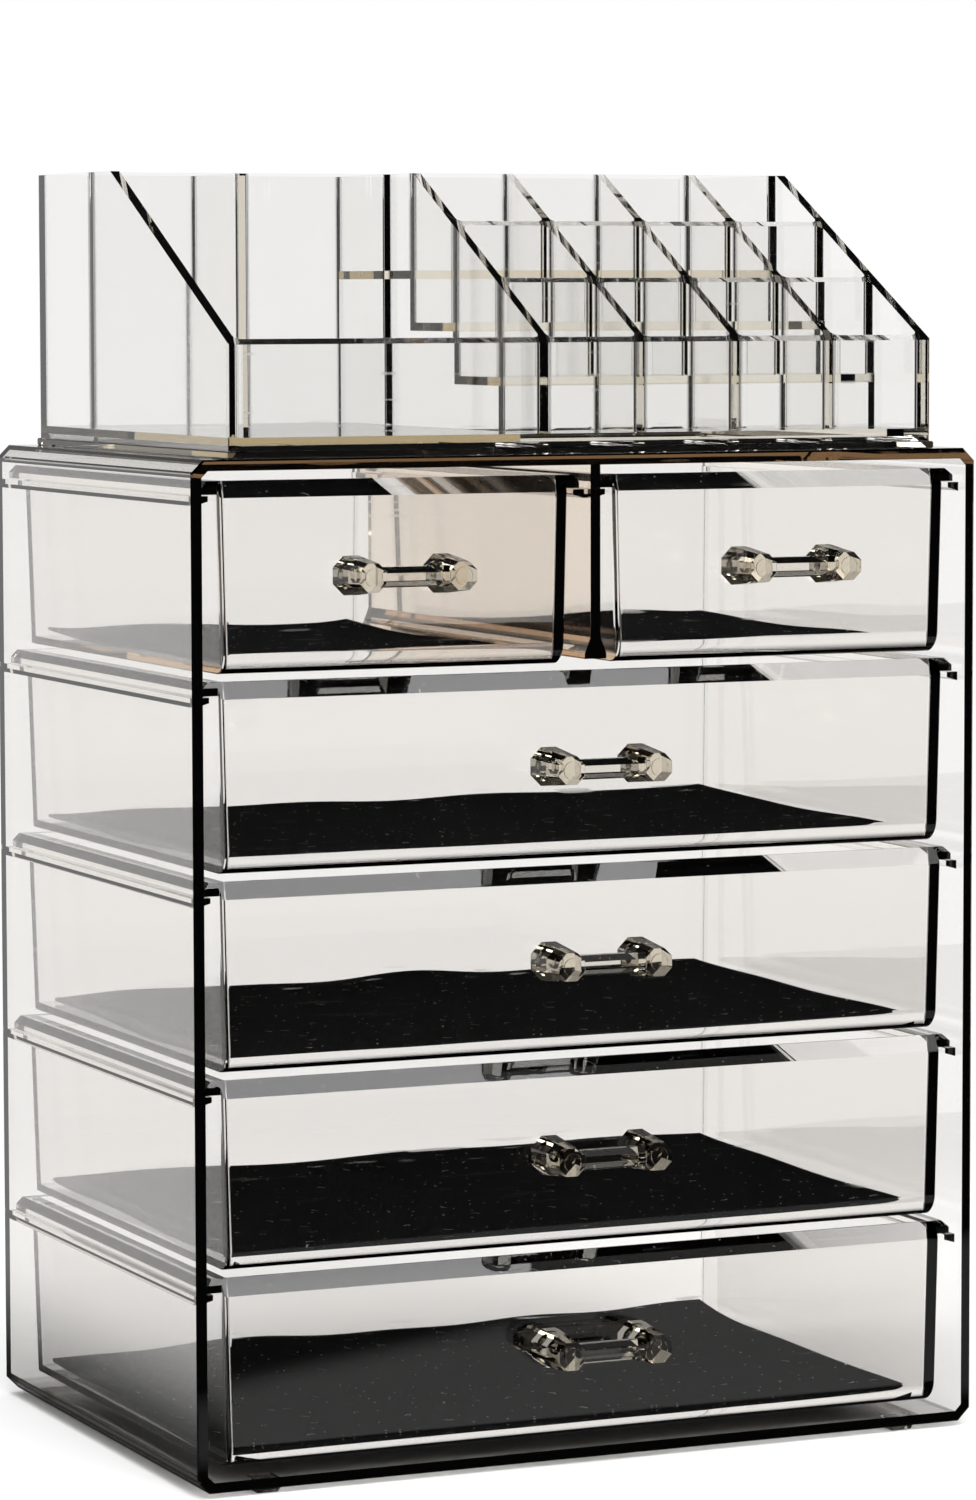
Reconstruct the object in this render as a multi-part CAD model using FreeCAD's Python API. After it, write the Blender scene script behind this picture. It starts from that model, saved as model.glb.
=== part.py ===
"""Countertop makeup organizer in clear smoke-tinted plastic.

An open-fronted case holds six drawers in five tiers: two small ones side by
side over four wide ones. Each drawer hangs by its rim from rails on the case
walls, has a moulded bar handle and a velvet liner. A loose cosmetic tray with
stepped lipstick cells nests over a locating ring on the roof of the case.

Millimetres, +Z up, +X to the viewer's right, drawers open towards -Y. The
origin is the centre of the footprint, handles included, on the surface that
the feet stand on.
"""
import FreeCAD
import Part
import math
import os

V = FreeCAD.Vector

# Case
CASE_WIDTH = 238.0
CASE_DEPTH = 160.0
CASE_HEIGHT = 280.0
CASE_WALL = 3.0
CASE_EDGE_CHAMFER = 3.6
CASE_FRONT_CHAMFER = 0.5
CASE_BACK_CHAMFER = 1.2

# Feet under the case
FOOT_SIZE = 7.4
FOOT_HEIGHT = 1.5
FOOT_TAPER = 0.7
FOOT_SIDE_INSET = 17.5
FOOT_END_INSET = 1.6

# Ring on the roof that locates the tray
RING_HEIGHT = 3.0
RING_WIDTH = 6.0
RING_INNER_SLOPE = 1.0
RING_CLEARANCE = 0.3
RING_TOP_CLEARANCE = 0.4

# Rails that carry the drawers
RAIL_OUT = 3.4
RAIL_HEIGHT = 2.5
RAIL_NOSE = 1.5
RAIL_SETBACK = 4.2
RAIL_GAP = 0.3

# Divider between the two small drawers
DIVIDER_THICKNESS = 3.0
DIVIDER_FOOT_WIDTH = 6.6
DIVIDER_FOOT_HEIGHT = 6.0
DIVIDER_LIFT = 3.4

# Drawers
WIDE_TIERS = 4
TIER_GAP = 1.9
ROOF_GAP = 2.8
FLOOR_GAP = 2.6
DRAWER_RECESS = 2.5
DRAWER_BACK_GAP = 1.5
DRAWER_WALL = 1.8
DRAWER_FRONT_WALL = 4.0
DRAWER_FLOOR = 2.2
DRAWER_DRAFT = 1.2
DRAWER_FRONT_DRAFT = 0.2
DRAWER_TOE_ROUND = 6.2
DRAWER_EDGE_CHAMFER = 0.3
DRAWER_CORNER_ROUND = 0.8
SIDE_CLEARANCE = 1.6
DIVIDER_CLEARANCE = 1.3

# Drawer rim
RIM_HEIGHT = 3.7
RIM_OVERHANG = 4.5
RIM_CHAMFER = 2.0
RIM_BACK_OVERHANG = 1.0
RIM_FRONT_SETBACK = 2.2
BEVEL_HEIGHT = 4.6
BEVEL_DEPTH = 3.3

# Handles
HANDLE_SPACING = 26.5
HANDLE_REACH = 16.0
POST_BASE_ACROSS = 10.8
POST_TIP_ACROSS = 7.8
BUTTON_DIAMETER = 5.0
BUTTON_HEIGHT = 0.4
BAR_ACROSS = 5.6
BAR_FROM_TIP = 3.6
PEG_ACROSS = 4.0
PEG_DEPTH = 2.5
PEG_CLEARANCE = 0.05
PEG_END_CLEARANCE = 0.2

# Velvet liners
LINER_THICKNESS = 1.0
LINER_GAP = 3.0

# Tray
TRAY_SIDE_INSET = 11.8
TRAY_END_INSET = 3.0
TRAY_HEIGHT = 78.6
TRAY_WALL = 2.8
TRAY_FRONT_HEIGHT = 30.6
TRAY_SLOPE_RUN = 91.6
TRAY_FLOOR = 2.2
TRAY_CORNER = 1.0
TRAY_BEAD_OUT = 0.6
TRAY_BEAD_HEIGHT = 2.0
TRAY_BASE_LAND = 0.9

# Tray compartments
PARTITION = 2.4
CELL_CORNER = 2.0
OPEN_BAY_WIDTH = 90.0
BACK_CELL_DEPTH = 38.8
BACK_CELLS = 2
RACK_COLUMNS = 4
RACK_ROWS = 3
RACK_CELL_DEPTH = 28.4
RACK_STEP = 15.0

# Working values
OVERCUT = 5.0
LEVEL = 1e-4

# Dependent sizes of the case
HALF_CASE = CASE_WIDTH / 2
HALF_BAY = HALF_CASE - CASE_WALL
CASE_BOTTOM = FOOT_HEIGHT
CASE_TOP = CASE_BOTTOM + CASE_HEIGHT
ROOF_UNDERSIDE = CASE_TOP - CASE_WALL
HANDLE_PROUD = HANDLE_REACH - DRAWER_RECESS
CASE_FRONT = -(CASE_DEPTH - HANDLE_PROUD) / 2
CASE_BACK = CASE_FRONT + CASE_DEPTH
BACK_INSIDE = CASE_BACK - CASE_WALL
CASE_CENTRE_Y = (CASE_FRONT + CASE_BACK) / 2

# Dependent sizes of the drawers
TOP_TIER_RIM = ROOF_UNDERSIDE - ROOF_GAP
LOWEST_TUB = CASE_BOTTOM + CASE_WALL + FLOOR_GAP
DRAWER_HEIGHT = (TOP_TIER_RIM - LOWEST_TUB - WIDE_TIERS * TIER_GAP) / (WIDE_TIERS + 1)
TIER_PITCH = DRAWER_HEIGHT + TIER_GAP
DRAWER_FRONT = CASE_FRONT + DRAWER_RECESS
TUB_BACK = BACK_INSIDE - DRAWER_BACK_GAP - RIM_BACK_OVERHANG
WIDE_RIM = 2 * (HALF_BAY - SIDE_CLEARANCE)
SMALL_RIM_INNER = DIVIDER_THICKNESS / 2 + DIVIDER_CLEARANCE
SMALL_RIM = HALF_BAY - SIDE_CLEARANCE - SMALL_RIM_INNER
SMALL_CENTRE = SMALL_RIM_INNER + SMALL_RIM / 2
DIVIDER_BOTTOM = TOP_TIER_RIM - TIER_PITCH + DIVIDER_LIFT
HANDLE_SEAT = DRAWER_FRONT + DRAWER_FRONT_DRAFT / 2

# Dependent sizes of the tray, measured from its own left front bottom corner
TRAY_WIDTH = CASE_WIDTH - 2 * TRAY_SIDE_INSET
TRAY_DEPTH = CASE_DEPTH - 2 * TRAY_END_INSET
TRAY_BASE_SLOPE = RING_HEIGHT + RING_CLEARANCE
TRAY_RECESS = RING_HEIGHT + RING_TOP_CLEARANCE
TRAY_LEFT = -TRAY_WIDTH / 2
TRAY_FRONT = CASE_CENTRE_Y - TRAY_DEPTH / 2
TRAY_BOTTOM = CASE_TOP
TRAY_SHELL = TRAY_BEAD_OUT + TRAY_WALL
TRAY_FLOOR_TOP = TRAY_RECESS + TRAY_FLOOR
RING_EDGE = TRAY_BEAD_OUT + TRAY_BASE_LAND + RING_CLEARANCE
RACK_LEFT = TRAY_SHELL + OPEN_BAY_WIDTH + PARTITION
RACK_RIGHT = TRAY_WIDTH - TRAY_SHELL
RACK_CELL_WIDTH = (RACK_RIGHT - RACK_LEFT - (RACK_COLUMNS - 1) * PARTITION) / RACK_COLUMNS
RACK_PITCH_X = RACK_CELL_WIDTH + PARTITION
RACK_PITCH_Y = RACK_CELL_DEPTH + PARTITION
TRAY_BACK_INSIDE = TRAY_DEPTH - TRAY_SHELL
BACK_CELL_WIDTH = (OPEN_BAY_WIDTH - (BACK_CELLS - 1) * PARTITION) / BACK_CELLS
BACK_CELL_FRONT = TRAY_BACK_INSIDE - BACK_CELL_DEPTH


def box(x0, x1, y0, y1, z0, z1):
    """Block between two corners."""
    return Part.makeBox(x1 - x0, y1 - y0, z1 - z0, V(x0, y0, z0))


def prism_along_y(profile, y0, y1):
    """Profile of (x, z) points carried from y0 to y1."""
    wire = Part.makePolygon([V(x, y0, z) for x, z in profile + profile[:1]])
    return Part.Face(wire).extrude(V(0, y1 - y0, 0))


def prism_along_x(profile, x0, x1):
    """Profile of (y, z) points carried from x0 to x1."""
    wire = Part.makePolygon([V(x0, y, z) for y, z in profile + profile[:1]])
    return Part.Face(wire).extrude(V(x1 - x0, 0, 0))


def frustum(lower, upper):
    """Solid with flat sides between two parallel outlines of as many points."""
    count = len(lower)
    outlines = [lower[::-1], upper]
    for k in range(count):
        n = (k + 1) % count
        outlines.append([lower[k], lower[n], upper[n], upper[k]])
    shell = Part.makeShell([Part.Face(Part.makePolygon(ring + ring[:1])) for ring in outlines])
    shell.sewShape()
    solid = Part.Solid(shell)
    if solid.Volume < 0:
        solid.reverse()
    return solid


def rectangle(x0, x1, y0, y1, z):
    """Corners of a level rectangle."""
    return [V(x0, y0, z), V(x1, y0, z), V(x1, y1, z), V(x0, y1, z)]


def octagon(cx, cz, across, y):
    """Corners of an upright octagon of a given width across its flats."""
    radius = across / 2 / math.cos(math.pi / 8)
    return [V(cx + radius * math.cos(a), y, cz + radius * math.sin(a))
            for a in (math.pi / 8 + k * math.pi / 4 for k in range(8))]


def upright_edges(shape):
    """Edges that stand up, whether plumb or drafted."""
    return [e for e in shape.Edges if abs(e.tangentAt(e.FirstParameter).z) > 0.9]


def edges_at_height(shape, z):
    """Edges that lie in the level plane at z."""
    return [e for e in shape.Edges
            if abs(e.BoundBox.ZMin - z) < LEVEL and abs(e.BoundBox.ZMax - z) < LEVEL]


def rail(wall_x, side, top):
    """Rib on a wall that a drawer rim slides on; side is the way it stands out."""
    tip = wall_x + side * RAIL_OUT
    profile = [(wall_x, top), (tip, top), (tip, top - RAIL_NOSE), (wall_x, top - RAIL_HEIGHT)]
    return prism_along_y(profile, CASE_FRONT + RAIL_SETBACK, BACK_INSIDE)


def rail_top(rim_top):
    return rim_top - RIM_HEIGHT - RAIL_GAP


def tier_rims():
    """Height of the rim of every tier, from the top down."""
    return [TOP_TIER_RIM - tier * TIER_PITCH for tier in range(WIDE_TIERS + 1)]


def case_shell():
    """Open-fronted case with chamfered long edges, drawer rails and the tray ring."""
    inner_chamfer = CASE_EDGE_CHAMFER - CASE_WALL * (2 - math.sqrt(2))

    def tube(half, bottom, top, cut, y0, y1):
        profile = [(half, bottom + cut), (half, top - cut), (half - cut, top),
                   (cut - half, top), (-half, top - cut), (-half, bottom + cut),
                   (cut - half, bottom), (half - cut, bottom)]
        return prism_along_y(profile, y0, y1)

    shell = tube(HALF_CASE, CASE_BOTTOM, CASE_TOP, CASE_EDGE_CHAMFER, CASE_FRONT, CASE_BACK)
    front_edges = [e for e in shell.Edges if e.BoundBox.YMax < CASE_FRONT + LEVEL]
    shell = shell.makeChamfer(CASE_FRONT_CHAMFER, front_edges)
    back_edges = [e for e in shell.Edges if e.BoundBox.YMin > CASE_BACK - LEVEL]
    shell = shell.makeChamfer(CASE_BACK_CHAMFER, back_edges)
    shell = shell.cut(tube(HALF_BAY, CASE_BOTTOM + CASE_WALL, ROOF_UNDERSIDE, inner_chamfer,
                           CASE_FRONT - OVERCUT, BACK_INSIDE))
    rails = [rail(side * HALF_BAY, -side, rail_top(rim))
             for rim in tier_rims() for side in (-1, 1)]
    return shell.fuse(rails + [tray_ring()]).removeSplitter()


def tray_ring():
    """Raised border on the roof, sloped outside at 45 degrees like the tray's base."""
    x1 = TRAY_WIDTH / 2 - RING_EDGE
    y0 = TRAY_FRONT + RING_EDGE
    y1 = TRAY_FRONT + TRAY_DEPTH - RING_EDGE

    def outline(inset, z):
        return rectangle(inset - x1, x1 - inset, y0 + inset, y1 - inset, z)

    sunk = CASE_TOP - CASE_WALL / 2
    top = CASE_TOP + RING_HEIGHT
    outside = frustum(outline(0, CASE_TOP), outline(RING_HEIGHT, top))
    root = frustum(outline(0, sunk), outline(0, CASE_TOP))
    inside = frustum(outline(RING_WIDTH, CASE_TOP), outline(RING_WIDTH - RING_INNER_SLOPE, top))
    return outside.fuse(root).cut(inside)


def centre_divider():
    """Hanging wall between the small drawers, with a rail on each face."""
    half = DIVIDER_THICKNESS / 2
    foot = DIVIDER_FOOT_WIDTH / 2
    shoulder = DIVIDER_BOTTOM + DIVIDER_FOOT_HEIGHT
    profile = [(-half, ROOF_UNDERSIDE), (-half, shoulder), (-foot, DIVIDER_BOTTOM + half),
               (-foot, DIVIDER_BOTTOM), (foot, DIVIDER_BOTTOM), (foot, DIVIDER_BOTTOM + half),
               (half, shoulder), (half, ROOF_UNDERSIDE)]
    wall = prism_along_y(profile, CASE_FRONT, BACK_INSIDE)
    rails = [rail(side * half, side, rail_top(TOP_TIER_RIM)) for side in (-1, 1)]
    return wall.fuse(rails).removeSplitter()


def foot(side_x, side_y):
    """Small square pad under one corner of the case."""
    cx = side_x * (HALF_CASE - FOOT_SIDE_INSET - FOOT_SIZE / 2)
    edge = FOOT_END_INSET + FOOT_SIZE / 2
    cy = CASE_FRONT + edge if side_y < 0 else CASE_BACK - edge
    half = FOOT_SIZE / 2
    small = half - FOOT_TAPER
    return frustum(rectangle(cx - small, cx + small, cy - small, cy + small, 0),
                   rectangle(cx - half, cx + half, cy - half, cy + half, CASE_BOTTOM))


def tub_form(half_width, bottom, top, side_inset, front_inset):
    """Drafted four-sided block, inset from the outer faces of a drawer."""

    def outline(z):
        share = 1 - z / DRAWER_HEIGHT
        half = half_width - side_inset - share * DRAWER_DRAFT
        return rectangle(-half, half, DRAWER_FRONT + front_inset + share * DRAWER_FRONT_DRAFT,
                         TUB_BACK - side_inset - share * DRAWER_DRAFT, z)

    return frustum(outline(bottom), outline(top))


def round_tub(tub):
    """Large round along the front of the bottom, fine chamfers on the other outer edges."""
    toe = [e for e in edges_at_height(tub, 0)
           if e.BoundBox.YMax < DRAWER_FRONT + DRAWER_FRONT_DRAFT + LEVEL]
    tub = tub.makeFillet(DRAWER_TOE_ROUND, toe)
    below_top = [e for e in tub.Edges if e.BoundBox.ZMin < DRAWER_HEIGHT - LEVEL]
    at_side = [e for e in below_top if e.BoundBox.XLength < DRAWER_DRAFT + LEVEL]
    at_back = [e for e in below_top if e.BoundBox.XLength > DRAWER_DRAFT + LEVEL
               and e.BoundBox.YMin > TUB_BACK - DRAWER_DRAFT - LEVEL]
    return tub.makeChamfer(DRAWER_EDGE_CHAMFER, at_side + at_back)


def drawer_form(rim_width):
    """Outside of a drawer with its bottom at height 0: tub, side rims and front bevel."""
    half_rim = rim_width / 2
    half_tub = half_rim - RIM_OVERHANG
    top = DRAWER_HEIGHT
    under_rim = top - RIM_HEIGHT
    tub = round_tub(tub_form(half_tub, 0, top, 0, 0))
    rim_profile = [(-half_rim, under_rim), (half_rim, under_rim), (half_rim, top - RIM_CHAMFER),
                   (half_rim - RIM_CHAMFER, top), (RIM_CHAMFER - half_rim, top),
                   (-half_rim, top - RIM_CHAMFER)]
    rim = prism_along_y(rim_profile, DRAWER_FRONT + RIM_FRONT_SETBACK,
                        TUB_BACK + RIM_BACK_OVERHANG)
    bevel = prism_along_x([(DRAWER_FRONT - OVERCUT, top + OVERCUT),
                           (DRAWER_FRONT - OVERCUT, top - BEVEL_HEIGHT),
                           (DRAWER_FRONT, top - BEVEL_HEIGHT),
                           (DRAWER_FRONT + BEVEL_DEPTH, top),
                           (DRAWER_FRONT + BEVEL_DEPTH, top + OVERCUT)],
                          -rim_width, rim_width)
    return tub.fuse(rim).cut(bevel).removeSplitter()


def drawer_inside(rim_width):
    """Space inside a drawer, with round upright corners."""
    half_tub = rim_width / 2 - RIM_OVERHANG
    space = tub_form(half_tub, DRAWER_FLOOR, DRAWER_HEIGHT + OVERCUT, DRAWER_WALL,
                     DRAWER_FRONT_WALL)
    return space.makeFillet(DRAWER_CORNER_ROUND, upright_edges(space))


def pegs(across, front, back):
    """Pair of octagonal pegs at the height of a handle."""
    return [frustum(octagon(side * HANDLE_SPACING / 2, DRAWER_HEIGHT / 2, across, front),
                    octagon(side * HANDLE_SPACING / 2, DRAWER_HEIGHT / 2, across, back))
            for side in (-1, 1)]


def drawer(rim_width, centre_x, rim_top):
    """One drawer box, with holes for the pegs of its handle."""
    body = drawer_form(rim_width).cut(drawer_inside(rim_width))
    body = body.cut(pegs(PEG_ACROSS + 2 * PEG_CLEARANCE, HANDLE_SEAT - OVERCUT,
                         HANDLE_SEAT + PEG_DEPTH + PEG_END_CLEARANCE))
    body.translate(V(centre_x, 0, rim_top - DRAWER_HEIGHT))
    return body


def handle(rim_width, centre_x, rim_top):
    """Two tapered octagonal posts joined by an octagonal bar, seated on the drawer front."""
    tip = DRAWER_FRONT - HANDLE_REACH
    seat = DRAWER_FRONT + DRAWER_FRONT_DRAFT
    middle = DRAWER_HEIGHT / 2
    pieces = []
    for side in (-1, 1):
        cx = side * HANDLE_SPACING / 2
        button_top = tip + BUTTON_HEIGHT
        pieces.append(frustum(octagon(cx, middle, POST_TIP_ACROSS, button_top),
                              octagon(cx, middle, POST_BASE_ACROSS, seat)))
        pieces.append(Part.makeCylinder(BUTTON_DIAMETER / 2, BUTTON_HEIGHT,
                                        V(cx, tip, middle), V(0, 1, 0)))
    section = octagon(tip + BAR_FROM_TIP, middle, BAR_ACROSS, 0)
    pieces.append(prism_along_x([(point.x, point.z) for point in section],
                                -HANDLE_SPACING / 2, HANDLE_SPACING / 2))
    grip = pieces[0].fuse(pieces[1:]).cut(drawer_form(rim_width))
    grip = grip.fuse(pegs(PEG_ACROSS, HANDLE_SEAT - HANDLE_REACH / 2, HANDLE_SEAT + PEG_DEPTH))
    grip = grip.removeSplitter()
    grip.translate(V(centre_x, 0, rim_top - DRAWER_HEIGHT))
    return grip


def liner(rim_width, centre_x, rim_top):
    """Velvet sheet that lies on the floor of a drawer."""
    share = 1 - DRAWER_FLOOR / DRAWER_HEIGHT
    inset = DRAWER_WALL + share * DRAWER_DRAFT + LINER_GAP
    front_inset = DRAWER_FRONT_WALL + share * DRAWER_FRONT_DRAFT + LINER_GAP
    half = rim_width / 2 - RIM_OVERHANG - inset
    z0 = rim_top - DRAWER_HEIGHT + DRAWER_FLOOR
    return box(centre_x - half, centre_x + half, DRAWER_FRONT + front_inset, TUB_BACK - inset,
               z0, z0 + LINER_THICKNESS)


def tray_outside():
    """Sloped outline of the tray with a bead round its base."""
    profile = [(TRAY_BEAD_OUT, 0), (TRAY_DEPTH - TRAY_BEAD_OUT, 0),
               (TRAY_DEPTH - TRAY_BEAD_OUT, TRAY_HEIGHT), (TRAY_SLOPE_RUN, TRAY_HEIGHT),
               (TRAY_BEAD_OUT, TRAY_FRONT_HEIGHT)]
    body = prism_along_x(profile, TRAY_BEAD_OUT, TRAY_WIDTH - TRAY_BEAD_OUT)
    body = body.makeFillet(TRAY_CORNER, upright_edges(body))
    bead = box(0, TRAY_WIDTH, 0, TRAY_DEPTH, 0, TRAY_BEAD_HEIGHT)
    bead = bead.makeChamfer(TRAY_BEAD_OUT / 2,
                            edges_at_height(bead, 0) + edges_at_height(bead, TRAY_BEAD_HEIGHT))
    return body.fuse(bead)


def tray_cell(x0, x1, y0, y1, floor):
    """Compartment with round upright corners."""
    cell = box(x0, x1, y0, y1, floor, TRAY_HEIGHT + OVERCUT)
    return cell.makeFillet(CELL_CORNER, upright_edges(cell))


def tray_cells():
    """Every compartment of the tray as the space to take out."""
    cells = [tray_cell(TRAY_SHELL, TRAY_SHELL + OPEN_BAY_WIDTH,
                       TRAY_SHELL, BACK_CELL_FRONT - PARTITION, TRAY_FLOOR_TOP)]
    for column in range(BACK_CELLS):
        x0 = TRAY_SHELL + column * (BACK_CELL_WIDTH + PARTITION)
        cells.append(tray_cell(x0, x0 + BACK_CELL_WIDTH, BACK_CELL_FRONT,
                               TRAY_BACK_INSIDE, TRAY_FLOOR_TOP))
    for row in range(RACK_ROWS):
        y0 = TRAY_SHELL + row * RACK_PITCH_Y
        floor = TRAY_FLOOR_TOP + row * RACK_STEP
        for column in range(RACK_COLUMNS):
            x0 = RACK_LEFT + column * RACK_PITCH_X
            cells.append(tray_cell(x0, x0 + RACK_CELL_WIDTH, y0, y0 + RACK_CELL_DEPTH, floor))
    cells.append(tray_cell(RACK_LEFT, RACK_RIGHT, TRAY_SHELL + RACK_ROWS * RACK_PITCH_Y,
                           TRAY_BACK_INSIDE, TRAY_FLOOR_TOP + RACK_ROWS * RACK_STEP))
    return cells


def tray_underside():
    """Recess that nests over the ring, and the hollow below the stepped floors."""
    land = TRAY_BEAD_OUT + TRAY_BASE_LAND

    def outline(inset, z):
        return rectangle(land + inset, TRAY_WIDTH - land - inset,
                         land + inset, TRAY_DEPTH - land - inset, z)

    slope = frustum(outline(0, 0), outline(TRAY_BASE_SLOPE, TRAY_BASE_SLOPE))
    recess = frustum(outline(TRAY_BASE_SLOPE, 0), outline(TRAY_BASE_SLOPE, TRAY_RECESS))
    stairs = [(TRAY_BACK_INSIDE, 0)]
    y = TRAY_SHELL + RACK_PITCH_Y
    stairs.append((y, 0))
    for row in range(1, RACK_ROWS + 1):
        ceiling = TRAY_FLOOR_TOP + row * RACK_STEP - PARTITION
        stairs.append((y, ceiling))
        y = TRAY_SHELL + (row + 1) * RACK_PITCH_Y if row < RACK_ROWS else TRAY_BACK_INSIDE
        stairs.append((y, ceiling))
    hollow = prism_along_x(stairs, RACK_LEFT, RACK_RIGHT)
    return [slope, recess, hollow]


def cosmetic_tray():
    """One moulding: open bay, two back cells, stepped lipstick rack and back trough."""
    tray = tray_outside().cut(tray_cells()).cut(tray_underside())
    tray.translate(V(TRAY_LEFT, TRAY_FRONT, TRAY_BOTTOM))
    return tray


def drawer_places():
    """Name, rim width, centre and rim height of every drawer."""
    rims = tier_rims()
    places = [("small_left", SMALL_RIM, -SMALL_CENTRE, rims[0]),
              ("small_right", SMALL_RIM, SMALL_CENTRE, rims[0])]
    places += [("wide_%d" % tier, WIDE_RIM, 0.0, rims[tier])
               for tier in range(1, WIDE_TIERS + 1)]
    return places


def build():
    """Every piece by the name of its file."""
    pieces = {"case_shell": case_shell(), "centre_divider": centre_divider(),
              "cosmetic_tray": cosmetic_tray()}
    for side_y, end in ((-1, "front"), (1, "back")):
        for side_x, hand in ((-1, "left"), (1, "right")):
            pieces["foot_%s_%s" % (end, hand)] = foot(side_x, side_y)
    for name, width, centre_x, rim_top in drawer_places():
        pieces["drawer_" + name] = drawer(width, centre_x, rim_top)
        pieces["handle_" + name] = handle(width, centre_x, rim_top)
        pieces["liner_" + name] = liner(width, centre_x, rim_top)
    return pieces


os.makedirs("parts", exist_ok=True)
for node, shape in build().items():
    shape.exportStep("parts/%s.step" % node)
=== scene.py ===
import bpy, math, random
from mathutils import Matrix, Vector

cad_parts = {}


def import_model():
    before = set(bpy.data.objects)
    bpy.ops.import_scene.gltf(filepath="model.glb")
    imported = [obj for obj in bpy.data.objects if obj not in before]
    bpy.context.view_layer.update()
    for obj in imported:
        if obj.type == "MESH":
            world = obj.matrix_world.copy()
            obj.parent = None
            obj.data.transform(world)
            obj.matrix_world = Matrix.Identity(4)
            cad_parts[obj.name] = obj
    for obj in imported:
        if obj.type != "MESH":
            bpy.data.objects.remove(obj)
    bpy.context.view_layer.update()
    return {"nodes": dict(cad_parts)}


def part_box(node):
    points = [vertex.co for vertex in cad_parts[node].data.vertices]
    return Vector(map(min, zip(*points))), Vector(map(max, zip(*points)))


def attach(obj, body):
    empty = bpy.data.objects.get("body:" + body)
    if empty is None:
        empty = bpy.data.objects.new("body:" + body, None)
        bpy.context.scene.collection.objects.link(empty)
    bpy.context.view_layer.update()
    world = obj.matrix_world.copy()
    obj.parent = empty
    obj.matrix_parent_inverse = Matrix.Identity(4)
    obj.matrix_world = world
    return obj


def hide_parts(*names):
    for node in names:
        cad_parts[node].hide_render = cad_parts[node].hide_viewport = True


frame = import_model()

# Lengths are in metres, and angles of the camera in degrees.

NODES = frame["nodes"]
DRAWERS = ["small_left", "small_right", "wide_1", "wide_2", "wide_3", "wide_4"]
CORNERS = ["front_left", "front_right", "back_left", "back_right"]

WHITE = (1, 1, 1, 1)

# Tints of the plastic
SMOKE = (0.90, 0.862, 0.812)
WARM = (0.985, 0.946, 0.894)
AMBER = (0.945, 0.862, 0.765)
GOLDEN = (0.90, 0.864, 0.785)
PAD_GREY = (0.72, 0.70, 0.68)
HAZE = (0.35, 0.75)             # range of the noise that carries roughness from its low to its high value
SCRATCHES = (0.74, 0.80, 0.0, 0.12)             # noise from, to, and the roughness added there
AIR_GAP = 0.00002               # film of air between two clear pieces that touch

# Velvet and its lint
PILE_DARK = (0.0035, 0.0035, 0.004, 1)
PILE_LIGHT = (0.010, 0.010, 0.011, 1)
LINT = (0.80, 0.80, 0.77, 1)
LONG_HAIRS = (85.0, 0.0016)     # cells per metre, half the length of a hair
SHORT_HAIRS = (190.0, 0.0004)
HAIR_CURVE = 260.0
HAIR_CORE, HAIR_EDGE = 0.00012, 0.00028
HAIR_TAPER = 0.7                # share of its half length at which a hair starts to fade
HAIR_RARE, HAIR_SURE = 0.62, 0.95
FULL_TURN = 6.283

# Liners
LINER_PILE = 0.0009
LINER_CLEAR = 0.00005           # film of air below the sheet
LINER_GRID = 0.003
BACK_WAVES = (5, (0.0003, 0.0009), (30, 140))   # how many, heights, radians per metre
CUT_WAVES = (6, (0.0004, 0.0012), (18, 75))
PHASES = (0, 6.3)
BACK_FROM, BACK_SHARE = 0.72, 0.28              # the back part of the sheet that lifts
CURL_WIDTH, CURL_HEIGHT, CURL_WAVE = 0.012, 0.0007, 70
CUT_SPREAD = 1.2
FIRST_SEED, SEED_STEP = 11, 7

# Brightness of the studio
BACKDROP = 1.0                  # the sweep seen straight through the plastic
BOUNCED = 0.85                  # the same sweep seen in a reflection
ROOM = 0.8                      # the room as it lights dull surfaces
FLOOR_REACH = 6.0               # from the middle to each side
FLOOR_COLOR = (0.93, 0.93, 0.93, 1)

# Zones as (start, end, level at the start, level at the end)
GLOW_ZONE = (0.22, 0.55, 0.0, 1.0)              # by distance: takes the shadow, then glows
BEHIND_ZONE = (0.08, 0.45, 0.03, BOUNCED)       # by Y
TABLE_ZONE = (0.19, 0.225, 0.45, 0.0)           # along TO_CAMERA
TABLE_FRONT = (-0.13, -0.10, 1.0, 0.0)          # by Y
AHEAD_ZONE = (-1.0, -0.4, 0.45, 0.0)            # by Y
LEFT_ZONE = (-0.20, -0.125, BOUNCED, 0.0)       # by X
LEFT_BACK = (-0.14, -0.02, 0.0, 1.0)            # by Y
SWEEP_TOP = (0.15, 0.45, 1.0, 0.08)             # by the Z of a ray's direction
SWEEP_BEHIND = (0.35, 0.75, 0.04, 1.0)          # by the Y of a ray's direction
TO_CAMERA = (-0.406, -0.914, 0.0)               # fixed in the room: from the object to the photograph's camera
INNER_PANES = 2.5               # a ray that has crossed more surfaces is inside the object
ONCE_REFLECTED = 0.5            # a ray with more reflections than this has had at least one

# Name, place, point it faces, size, watts
SOFTBOXES = [
    ("overhead", (-0.02, -0.86, 1.2), (-0.02, -0.86, 0.0), (1.18, 0.80), 17.5),
    ("fill", (1.4, -0.6, 1.0), (0, 0, 0.18), (0.8, 1.4), 8),
    ("top", (-0.60, 0.10, 1.7), (0, 0, 0.2), (1.0, 1.0), 10),
]

# Camera fitted to the photograph
CAMERA_PLACE = (-0.63533, -1.42810, 0.32718)
CAMERA_YAW, CAMERA_PITCH, CAMERA_ROLL = 23.9842, -4.8673, -0.1346
FOCAL_PIXELS, LONG_SIDE_PIXELS, SENSOR_MM = 5432.2, 1500, 36
PANE_BOUNCES = 24               # many panes lie one behind another


# ---------- node helpers ----------

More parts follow.
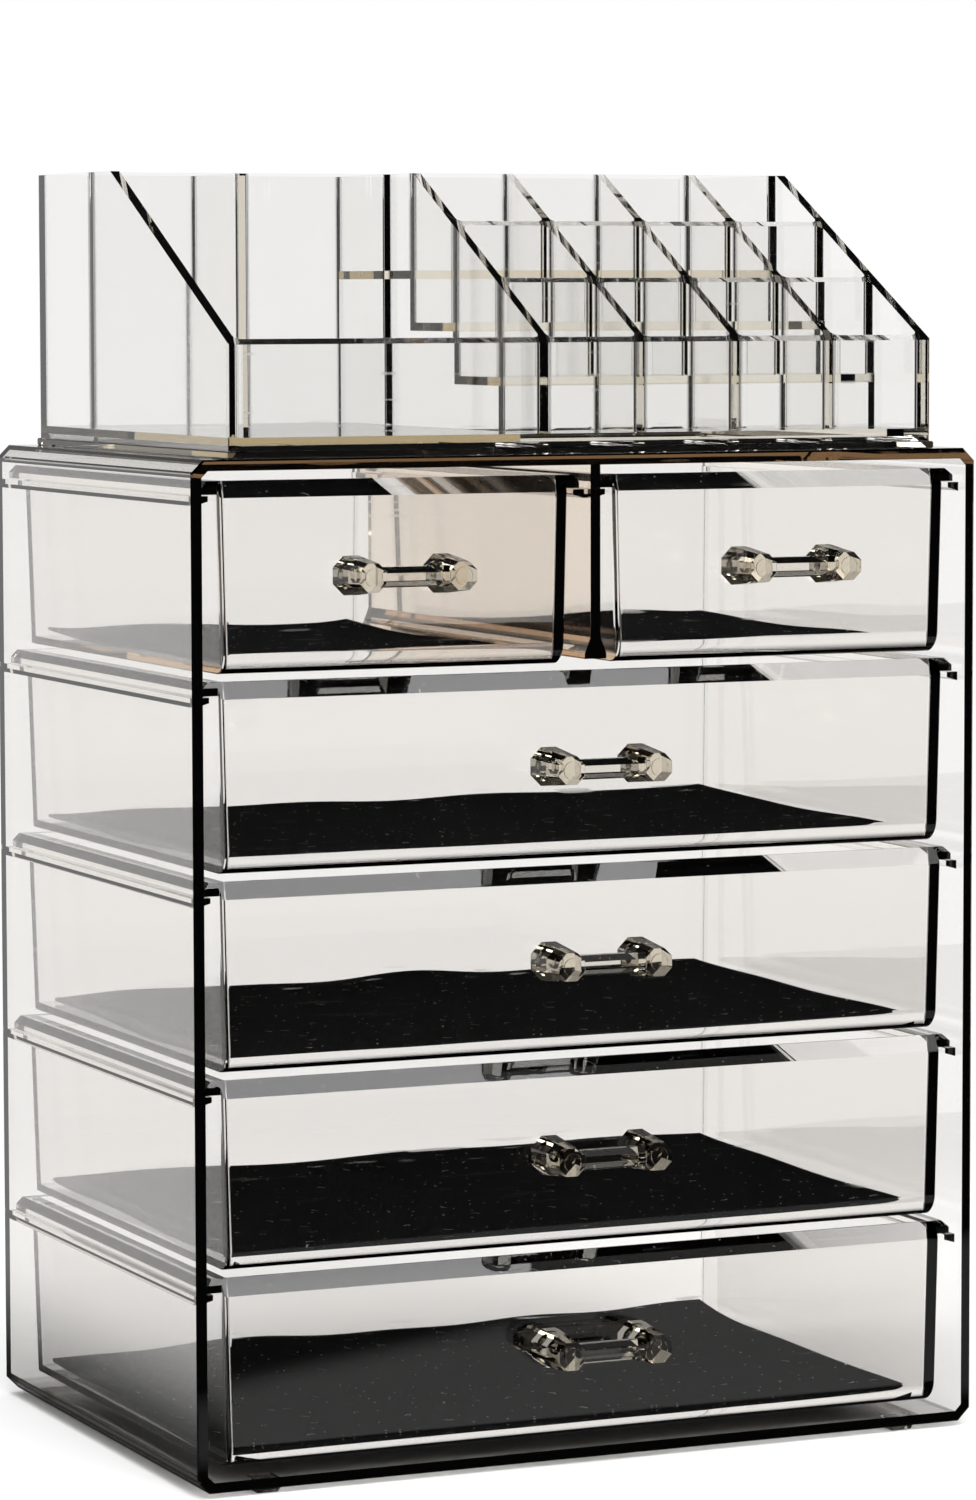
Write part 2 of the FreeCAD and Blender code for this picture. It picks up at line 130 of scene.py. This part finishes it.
class Tree:
    """Thin wrapper that adds and links shader nodes."""

    def __init__(self, tree):
        self.tree = tree
        tree.nodes.clear()

    def add(self, kind, inputs=None, **props):
        """New node with its properties, and with its inputs set or linked."""
        node = self.tree.nodes.new(kind)
        for key, value in props.items():
            setattr(node, key, value)
        for key, value in (inputs or {}).items():
            if isinstance(value, bpy.types.NodeSocket):
                self.link(value, node.inputs[key])
            else:
                node.inputs[key].default_value = value
        return node

    def link(self, a, b):
        self.tree.links.new(a, b)

    def maths(self, operation, a, b=0.5):
        """Output of a Math node."""
        return self.add("ShaderNodeMath", {0: a, 1: b}, operation=operation).outputs[0]

    def ramp(self, value, start, end, low, high, shape="SMOOTHSTEP"):
        """Value from start to end carried to low to high, and held outside that range."""
        return self.add("ShaderNodeMapRange",
                        {"Value": value, "From Min": start, "From Max": end, "To Min": low, "To Max": high},
                        interpolation_type=shape).outputs["Result"]

    def place(self):
        """Point on the surface in the object's own coordinates."""
        return self.add("ShaderNodeTexCoord").outputs["Object"]

    def bump(self, height, strength, distance):
        return self.add("ShaderNodeBump", {"Height": height, "Strength": strength,
                                           "Distance": distance}).outputs["Normal"]


def new_material(name):
    mat = bpy.data.materials.new(name)
    mat.use_nodes = True
    tree = Tree(mat.node_tree)
    return mat, tree, tree.add("ShaderNodeOutputMaterial")


# ---------- materials ----------

def clear_plastic(name, tint, density, waviness=0.00003, wave_scale=22.0, rough=(0.004, 0.03)):
    """Clear moulded plastic: polished, faintly wavy, with hairline scratches and a tint in its depth."""
    mat, t, out = new_material(name)
    where = t.place()
    flow = t.add("ShaderNodeTexNoise", {"Vector": where, "Scale": wave_scale, "Detail": 1.5, "Roughness": 0.4})
    haze = t.add("ShaderNodeTexNoise", {"Vector": where, "Scale": 70.0, "Detail": 3.0})
    stretch = t.add("ShaderNodeMapping", {"Vector": where, "Rotation": (0.4, 0.7, 0.3),
                                          "Scale": (60.0, 900.0, 900.0)})
    hair = t.add("ShaderNodeTexNoise", {"Vector": stretch.outputs["Vector"], "Scale": 1.0, "Detail": 0.0})
    marks = t.ramp(hair.outputs["Fac"], *SCRATCHES, shape="LINEAR")
    base = t.ramp(haze.outputs["Fac"], *HAZE, *rough, shape="LINEAR")
    surface = t.add("ShaderNodeBsdfPrincipled", {
        "Base Color": WHITE, "IOR": 1.49, "Transmission Weight": 1.0,
        "Roughness": t.maths("ADD", base, marks), "Normal": t.bump(flow.outputs["Fac"], 1.0, waviness)})
    volume = t.add("ShaderNodeVolumeAbsorption", {"Color": (*tint, 1), "Density": density})
    t.link(surface.outputs["BSDF"], out.inputs["Surface"])
    t.link(volume.outputs["Volume"], out.inputs["Volume"])
    return mat


def lint_hairs(t, where, per_metre, half_length):
    """Sparse curved fibres lying on the pile, one to a cell, each turned its own way."""
    cell = t.add("ShaderNodeTexVoronoi", {"Vector": where, "Scale": per_metre, "Randomness": 1.0},
                 voronoi_dimensions="2D")
    chance = t.add("ShaderNodeSeparateColor", {"Color": cell.outputs["Color"]})
    local = t.add("ShaderNodeVectorMath", {0: where, 1: cell.outputs["Position"]}, operation="SUBTRACT")
    turned = t.add("ShaderNodeVectorRotate",
                   {"Vector": local.outputs["Vector"],
                    "Angle": t.maths("MULTIPLY", chance.outputs["Red"], FULL_TURN)},
                   rotation_type="Z_AXIS")
    along = t.add("ShaderNodeSeparateXYZ", {0: turned.outputs["Vector"]})
    square = t.maths("MULTIPLY", along.outputs["X"], along.outputs["X"])
    bend = t.maths("MULTIPLY", square, HAIR_CURVE)
    across = t.maths("ABSOLUTE", t.maths("SUBTRACT", along.outputs["Y"], bend))
    length = t.maths("ABSOLUTE", along.outputs["X"])
    thin = t.ramp(across, HAIR_CORE, HAIR_EDGE, 1.0, 0.0)
    ends = t.ramp(length, half_length * HAIR_TAPER, half_length, 1.0, 0.0)
    rare = t.ramp(chance.outputs["Green"], HAIR_RARE, HAIR_SURE, 0.0, 1.0)
    return t.maths("MULTIPLY", t.maths("MULTIPLY", thin, ends), rare)


def velvet(name):
    """Black flocked velvet: deep pile, soft sheen, a little lint."""
    mat, t, out = new_material(name)
    where = t.place()
    pile = t.add("ShaderNodeTexNoise", {"Vector": where, "Scale": 2600.0, "Detail": 2.0})
    nap = t.add("ShaderNodeTexNoise", {"Vector": where, "Scale": 38.0, "Detail": 4.0, "Roughness": 0.6})
    tone = t.add("ShaderNodeMix", {"Factor": nap.outputs["Fac"], "A": PILE_DARK, "B": PILE_LIGHT},
                 data_type="RGBA")
    lint = t.maths("MAXIMUM", lint_hairs(t, where, *LONG_HAIRS), lint_hairs(t, where, *SHORT_HAIRS))
    body = t.add("ShaderNodeMix", {"Factor": lint, "A": tone.outputs["Result"], "B": LINT}, data_type="RGBA")
    height = t.maths("ADD", pile.outputs["Fac"], nap.outputs["Fac"])
    surface = t.add("ShaderNodeBsdfPrincipled", {
        "Base Color": body.outputs["Result"], "Roughness": 0.95, "Specular IOR Level": 0.05,
        "Sheen Weight": 0.03, "Sheen Roughness": 0.35, "Sheen Tint": (0.5, 0.5, 0.52, 1),
        "Normal": t.bump(height, 0.7, 0.0004)})
    t.link(surface.outputs["BSDF"], out.inputs["Surface"])
    return mat


def dress(node, mat, gap=0.0):
    """Gives a CAD node its material and lets it stand a hair clear of the pieces that it touches."""
    ob = NODES[node]
    ob.data.materials.clear()
    ob.data.materials.append(mat)
    if gap:
        mod = ob.modifiers.new("air_gap", "DISPLACE")
        mod.strength = -gap
        mod.mid_level = 0.0


def dress_all():
    """Puts the plastics on the CAD nodes. The divider's tint is denser, to match the tone behind it."""
    case = clear_plastic("smoke_case", SMOKE, density=90.0)
    divider = clear_plastic("smoke_divider", AMBER, density=260.0)
    drawer = clear_plastic("smoke_drawer", WARM, density=80.0, waviness=0.00004, wave_scale=18.0)
    handle = clear_plastic("smoke_handle", GOLDEN, density=130.0, waviness=0.00002, wave_scale=60.0)
    tray = clear_plastic("smoke_tray", GOLDEN, density=42.0)
    foot = clear_plastic("foot_pad", PAD_GREY, density=300.0, rough=(0.15, 0.3))
    dress("case_shell", case)
    dress("centre_divider", divider, AIR_GAP)
    for corner in CORNERS:
        dress("foot_" + corner, foot, AIR_GAP)
    for name in DRAWERS:
        dress("drawer_" + name, drawer)
        dress("handle_" + name, handle, AIR_GAP)
    dress("cosmetic_tray", tray, AIR_GAP)


# ---------- velvet liners ----------

def draw_waves(rng, count, heights, per_metre):
    """Random waves, each a height, a number of radians per metre and a phase."""
    return [(rng.uniform(*heights), rng.uniform(*per_metre), rng.uniform(*PHASES)) for _ in range(count)]


def wander(waves, at):
    """Sum of the waves at a distance."""
    return sum(a * math.sin(k * at + p) for a, k, p in waves)


def lift_off(waves, at):
    """Sum of the waves at a distance, each kept from going below 0."""
    return sum(a * (0.5 + 0.5 * math.sin(k * at + p)) for a, k, p in waves)


def liner_mesh(name, corner, width, depth, seed):
    """Grid whose back edge lifts in waves, whose sides curl, and whose cut edges wander."""
    rng = random.Random(seed)
    back_waves = draw_waves(rng, *BACK_WAVES)
    cut_waves = draw_waves(rng, *CUT_WAVES)
    cols, rows = max(2, round(width / LINER_GRID)), max(2, round(depth / LINER_GRID))
    verts = []
    for j in range(rows + 1):
        v = j / rows
        back = max(0.0, (v - BACK_FROM) / BACK_SHARE)
        for i in range(cols + 1):
            u = i / cols
            x, y = u * width, v * depth
            curl = max(0.0, 1 - min(u, 1 - u) * width / CURL_WIDTH)
            lift = lift_off(back_waves, x) * back ** 2
            lift += CURL_HEIGHT * curl ** 2 * (0.5 + 0.5 * math.sin(CURL_WAVE * y + seed))
            edge_x = wander(cut_waves[2:4], y) * (u - 0.5) * CUT_SPREAD
            edge_y = wander(cut_waves[:2], x) * (v - 0.5) * CUT_SPREAD
            verts.append((corner.x + (x + edge_x), corner.y + (y + edge_y), corner.z + LINER_CLEAR + lift))
    stride = cols + 1
    starts = [j * stride + i for j in range(rows) for i in range(cols)]
    mesh = bpy.data.meshes.new(name)
    mesh.from_pydata(verts, [], [(a, a + 1, a + 1 + stride, a + stride) for a in starts])
    mesh.polygons.foreach_set("use_smooth", [True] * len(mesh.polygons))
    return mesh


def make_liner(drawer, mat, seed):
    """Loose velvet sheet on the floor of a drawer."""
    lo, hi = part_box("liner_" + drawer)
    width, depth = hi.x - lo.x, hi.y - lo.y
    name = "velvet_" + drawer
    mesh = liner_mesh(name, lo, width, depth, seed)
    mesh.materials.append(mat)
    ob = bpy.data.objects.new(name, mesh)
    bpy.context.scene.collection.objects.link(ob)
    solid = ob.modifiers.new("pile", "SOLIDIFY")
    solid.thickness, solid.offset = LINER_PILE, 1.0
    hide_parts("liner_" + drawer)
    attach(ob, "drawer_box_" + drawer)


def make_liners():
    mat = velvet("black_velvet")
    for k, drawer in enumerate(DRAWERS):
        make_liner(drawer, mat, FIRST_SEED + SEED_STEP * k)


# ---------- studio ----------

def is_reflected(t, path):
    """1 for a ray that has been reflected on its way."""
    return t.maths("GREATER_THAN", path.outputs["Glossy Depth"], ONCE_REFLECTED)


def ray_level(t, path, open_level, seen_through, bounced):
    """Brightness for plain rays, for rays straight through the plastic, and for reflected ones."""
    through = t.add("ShaderNodeMix", {"Factor": path.outputs["Is Transmission Ray"],
                                      "A": open_level, "B": seen_through})
    level = t.add("ShaderNodeMix", {"Factor": is_reflected(t, path),
                                    "A": through.outputs["Result"], "B": bounced})
    return level.outputs["Result"]


def floor_in_reflections(t, path, where):
    """How bright reflected rays find the floor: dark, but for zones beside, behind and before the object."""
    place = t.add("ShaderNodeSeparateXYZ", {0: where})
    at_x, at_y = place.outputs["X"], place.outputs["Y"]
    behind = t.ramp(at_y, *BEHIND_ZONE)
    left = t.maths("MULTIPLY", t.ramp(at_x, *LEFT_ZONE), t.ramp(at_y, *LEFT_BACK))
    inner = t.maths("GREATER_THAN", path.outputs["Transmission Depth"], INNER_PANES)
    ahead = t.maths("MULTIPLY", inner, t.ramp(at_y, *AHEAD_ZONE))
    to_camera = t.add("ShaderNodeVectorMath", {0: where, 1: TO_CAMERA}, operation="DOT_PRODUCT")
    near = t.maths("MULTIPLY", t.ramp(to_camera.outputs["Value"], *TABLE_ZONE), t.ramp(at_y, *TABLE_FRONT))
    sides = t.maths("MAXIMUM", behind, left)
    return t.maths("MAXIMUM", t.maths("MAXIMUM", sides, ahead), near)


def floor_material():
    """Dull white that takes the shadow near the object and glows white far away."""
    mat, t, out = new_material("studio_floor")
    where = t.place()
    path = t.add("ShaderNodeLightPath")
    away = t.add("ShaderNodeVectorMath", {0: where}, operation="LENGTH").outputs["Value"]
    seen = t.maths("MAXIMUM", path.outputs["Is Camera Ray"], path.outputs["Is Transmission Ray"])
    glowing = t.maths("MULTIPLY", t.ramp(away, *GLOW_ZONE), seen)
    glow = t.maths("MAXIMUM", glowing, is_reflected(t, path))
    level = ray_level(t, path, 1.0, BACKDROP, floor_in_reflections(t, path, where))
    dull = t.add("ShaderNodeBsdfDiffuse", {"Color": FLOOR_COLOR})
    white = t.add("ShaderNodeEmission", {"Color": WHITE, "Strength": level})
    mix = t.add("ShaderNodeMixShader", {"Fac": glow, 1: dull.outputs["BSDF"], 2: white.outputs["Emission"]})
    t.link(mix.outputs["Shader"], out.inputs["Surface"])
    return mat


def floor():
    """Plain pale floor."""
    mesh = bpy.data.meshes.new("studio_floor")
    s = FLOOR_REACH
    mesh.from_pydata([(-s, -s, 0), (s, -s, 0), (s, s, 0), (-s, s, 0)], [], [(0, 1, 2, 3)])
    mesh.materials.append(floor_material())
    ob = bpy.data.objects.new("studio_floor", mesh)
    bpy.context.scene.collection.objects.link(ob)


def world():
    """White backdrop behind the object in a dark room, as in bright-field product photography."""
    studio = bpy.data.worlds.new("studio")
    bpy.context.scene.world = studio
    studio.use_nodes = True
    t = Tree(studio.node_tree)
    out = t.add("ShaderNodeOutputWorld")
    path = t.add("ShaderNodeLightPath")
    aim = t.add("ShaderNodeSeparateXYZ", {0: t.add("ShaderNodeTexCoord").outputs["Generated"]})
    sweep = t.maths("MULTIPLY", t.ramp(aim.outputs["Y"], *SWEEP_BEHIND), t.ramp(aim.outputs["Z"], *SWEEP_TOP))
    level = ray_level(t, path, ROOM, t.maths("MULTIPLY", sweep, BACKDROP), t.maths("MULTIPLY", sweep, BOUNCED))
    room = t.add("ShaderNodeBackground", {"Color": WHITE, "Strength": level})
    seen = t.add("ShaderNodeBackground", {"Color": WHITE, "Strength": 1.0})
    mix = t.add("ShaderNodeMixShader", {"Fac": path.outputs["Is Camera Ray"],
                                        1: room.outputs[0], 2: seen.outputs[0]})
    t.link(mix.outputs["Shader"], out.inputs["Surface"])


def softbox(name, place, target, size, watts):
    data = bpy.data.lights.new(name, "AREA")
    data.shape, data.size, data.size_y, data.energy = "RECTANGLE", *size, watts
    ob = bpy.data.objects.new(name, data)
    bpy.context.scene.collection.objects.link(ob)
    ob.location = place
    ob.rotation_euler = (Vector(target) - Vector(place)).to_track_quat("-Z", "Y").to_euler()


def camera():
    """Stands where the photographer stood: 24 degrees to the left of the front, looking 5 degrees down."""
    yaw, pitch, roll = (math.radians(angle) for angle in (CAMERA_YAW, CAMERA_PITCH, CAMERA_ROLL))
    ahead = Vector((math.sin(yaw) * math.cos(pitch), math.cos(yaw) * math.cos(pitch), math.sin(pitch)))
    level = Vector((math.cos(yaw), -math.sin(yaw), 0))
    upright = level.cross(ahead)
    right = level * math.cos(roll) + upright * math.sin(roll)
    up = upright * math.cos(roll) - level * math.sin(roll)
    data = bpy.data.cameras.new("camera")
    data.lens = FOCAL_PIXELS / LONG_SIDE_PIXELS * SENSOR_MM
    data.sensor_width, data.sensor_fit = SENSOR_MM, "AUTO"
    ob = bpy.data.objects.new("camera", data)
    bpy.context.scene.collection.objects.link(ob)
    turn = Matrix((right, up, -ahead)).transposed().to_4x4()
    ob.matrix_world = Matrix.Translation(CAMERA_PLACE) @ turn
    bpy.context.scene.camera = ob


dress_all()
make_liners()
floor()
world()
for lamp in SOFTBOXES:
    softbox(*lamp)
camera()

scene = bpy.context.scene
scene.view_settings.view_transform = "Standard"
scene.cycles.max_bounces = scene.cycles.transmission_bounces = PANE_BOUNCES
